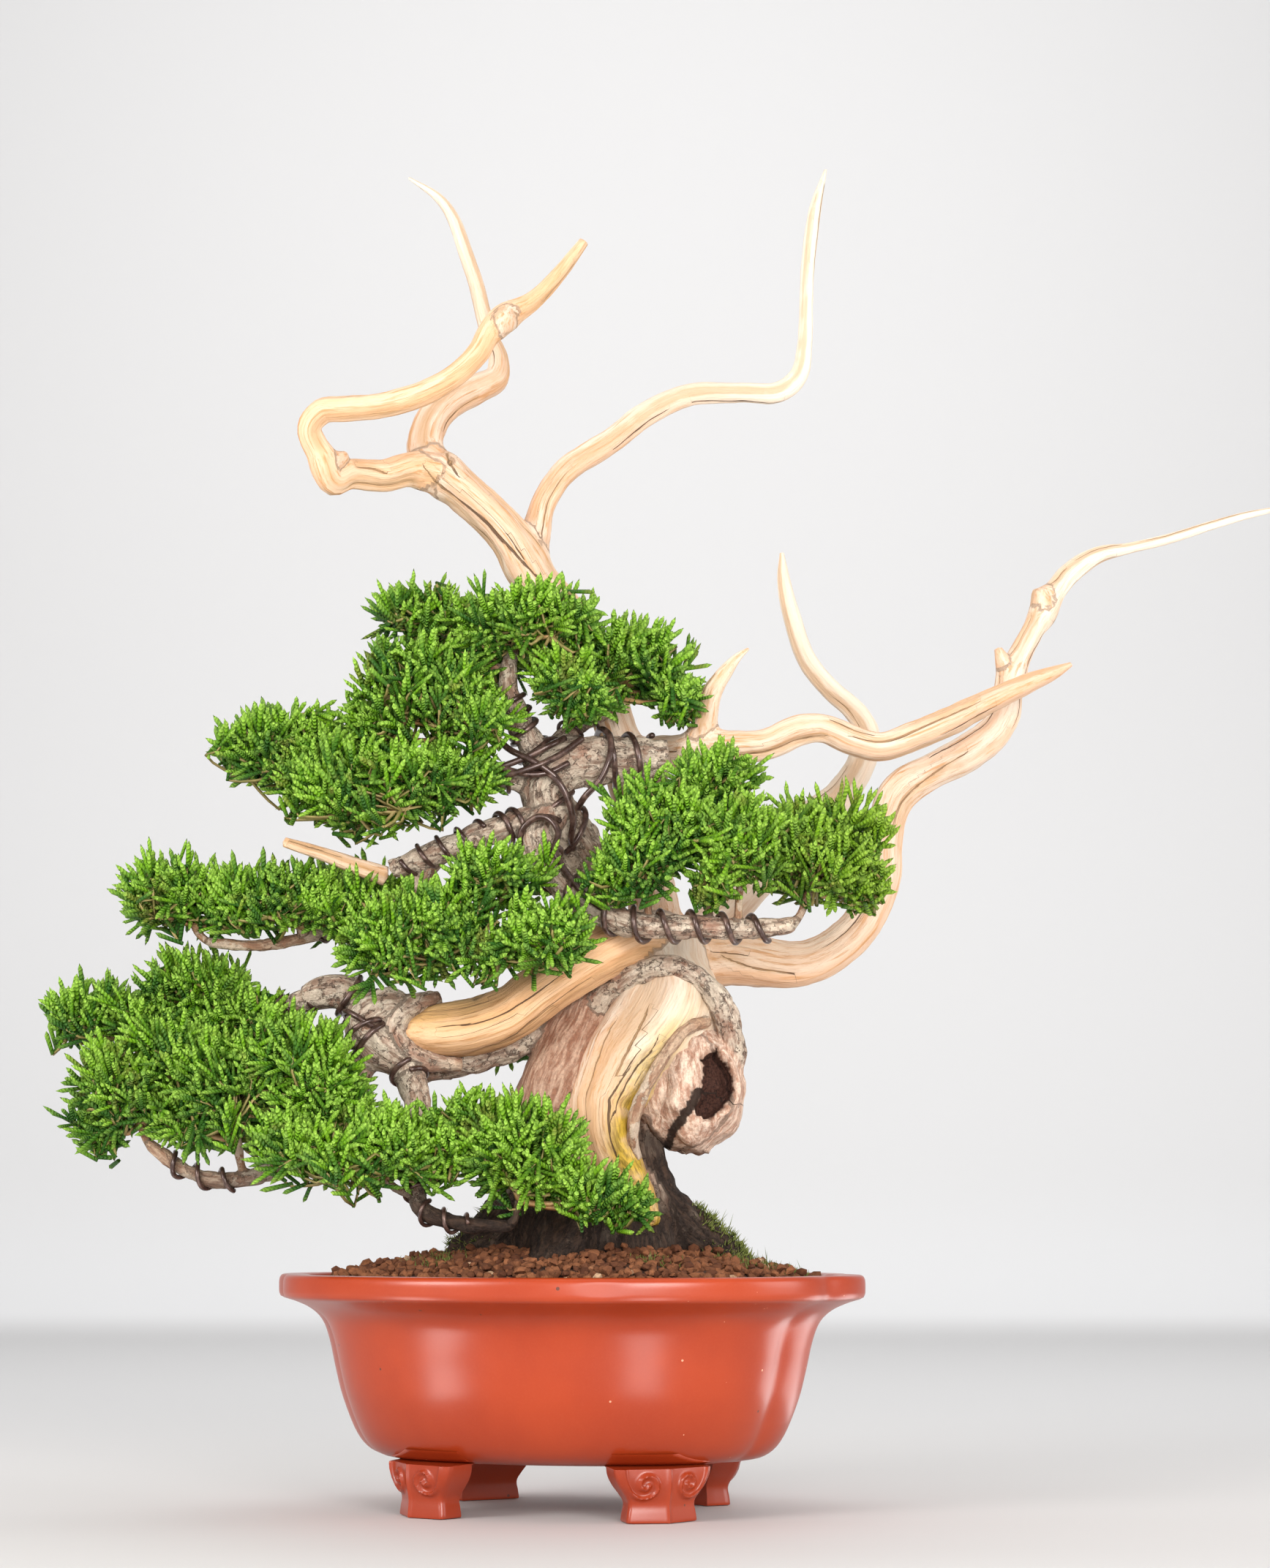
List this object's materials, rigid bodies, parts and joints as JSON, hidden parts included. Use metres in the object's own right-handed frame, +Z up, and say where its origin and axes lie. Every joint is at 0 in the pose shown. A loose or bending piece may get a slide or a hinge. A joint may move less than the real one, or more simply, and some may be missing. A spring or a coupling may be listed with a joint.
{
  "type": "chinese juniper bonsai",
  "caption": "Chinese juniper bonsai with long bleached deadwood limbs and wired live branches, in an oval lobed clay pot on bracket feet.",
  "frame": {"origin": "bottom centre of the whole object's box, on the plane that the pot's feet stand on", "axes": "+Z up; +X to the right as seen from the front, along the tree's longest limbs; +Y away from the viewer"},
  "size_m": [0.5648, 0.1996, 0.611],
  "materials": {
    "red_clay": "unglazed, satin",
    "fired_soil": "matte, coarse grains",
    "screen_plastic": "matte",
    "bleached_wood": "bare, dry, matte",
    "bark": "rough bark",
    "scale_foliage": "living green scale leaves, satin",
    "training_wire": "dark anodised, glossy"
  },
  "bodies": {
    "root": {"deadwood": "bleached_wood", "drain_screen_left": "screen_plastic", "drain_screen_right": "screen_plastic", "left_stub": "bleached_wood", "live_wood": "bark", "pot": "red_clay", "soil": "fired_soil", "spray_apex_front": "scale_foliage", "spray_apex_left": "scale_foliage", "spray_apex_low": "scale_foliage", "spray_apex_rear": "scale_foliage", "spray_apex_right": "scale_foliage", "spray_front_left": "scale_foliage", "spray_front_right": "scale_foliage", "spray_front_top": "scale_foliage", "spray_low_far_left": "scale_foliage", "spray_low_inner": "scale_foliage", "spray_low_left": "scale_foliage", "spray_low_rear": "scale_foliage", "spray_middle_inner": "scale_foliage", "spray_middle_left": "scale_foliage", "spray_middle_rear": "scale_foliage", "spray_rear_low": "scale_foliage", "spray_right_inner": "scale_foliage", "spray_right_middle": "scale_foliage", "spray_right_outer": "scale_foliage", "spray_right_top": "scale_foliage", "spray_shoulder_front": "scale_foliage", "spray_shoulder_left": "scale_foliage", "spray_shoulder_rear": "scale_foliage", "spray_skirt_left": "scale_foliage", "spray_skirt_middle": "scale_foliage", "spray_skirt_right": "scale_foliage", "spray_tip_far_left": "scale_foliage", "spray_tip_left": "scale_foliage", "wire_apex_branch": "training_wire", "wire_hanging_branch": "training_wire", "wire_left_branch": "training_wire", "wire_low_branch": "training_wire", "wire_right_branch": "training_wire", "wire_trunk": "training_wire"}
  },
  "joints": []
}
